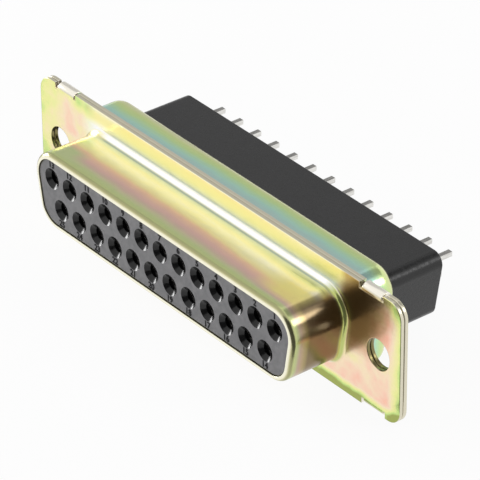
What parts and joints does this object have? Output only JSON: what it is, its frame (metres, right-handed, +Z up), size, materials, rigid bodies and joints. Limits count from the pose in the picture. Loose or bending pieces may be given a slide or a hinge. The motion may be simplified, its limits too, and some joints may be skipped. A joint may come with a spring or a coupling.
{
  "type": "d-sub connector",
  "caption": "D-shaped board connector socket: yellow-passivated steel shell with two screw holes, dark insulator with two rows of contact holes, and straight tails behind.",
  "frame": {"origin": "middle of the line between the two screw holes, on the flange's front face", "axes": "+X to the right as the mating plug sees the connector, +Y to the rear along the tails, +Z up, towards the longer row of contacts"},
  "size_m": [0.053, 0.0206, 0.0126],
  "materials": {
    "shell_steel": "zinc plated steel, yellow passivated",
    "face_plastic": "moulded, matt dark grey",
    "block_plastic": "moulded, satin black",
    "contact_tin": "copper alloy, tin plated"
  },
  "bodies": {
    "root": {"front_shell": "shell_steel", "rear_shell": "shell_steel", "front_insulator": "face_plastic", "rear_insulator": "block_plastic", "contact_01": "contact_tin", "contact_02": "contact_tin", "contact_03": "contact_tin", "contact_04": "contact_tin", "contact_05": "contact_tin", "contact_06": "contact_tin", "contact_07": "contact_tin", "contact_08": "contact_tin", "contact_09": "contact_tin", "contact_10": "contact_tin", "contact_11": "contact_tin", "contact_12": "contact_tin", "contact_13": "contact_tin", "contact_14": "contact_tin", "contact_15": "contact_tin", "contact_16": "contact_tin", "contact_17": "contact_tin", "contact_18": "contact_tin", "contact_19": "contact_tin", "contact_20": "contact_tin", "contact_21": "contact_tin", "contact_22": "contact_tin", "contact_23": "contact_tin", "contact_24": "contact_tin", "contact_25": "contact_tin"}
  },
  "joints": []
}
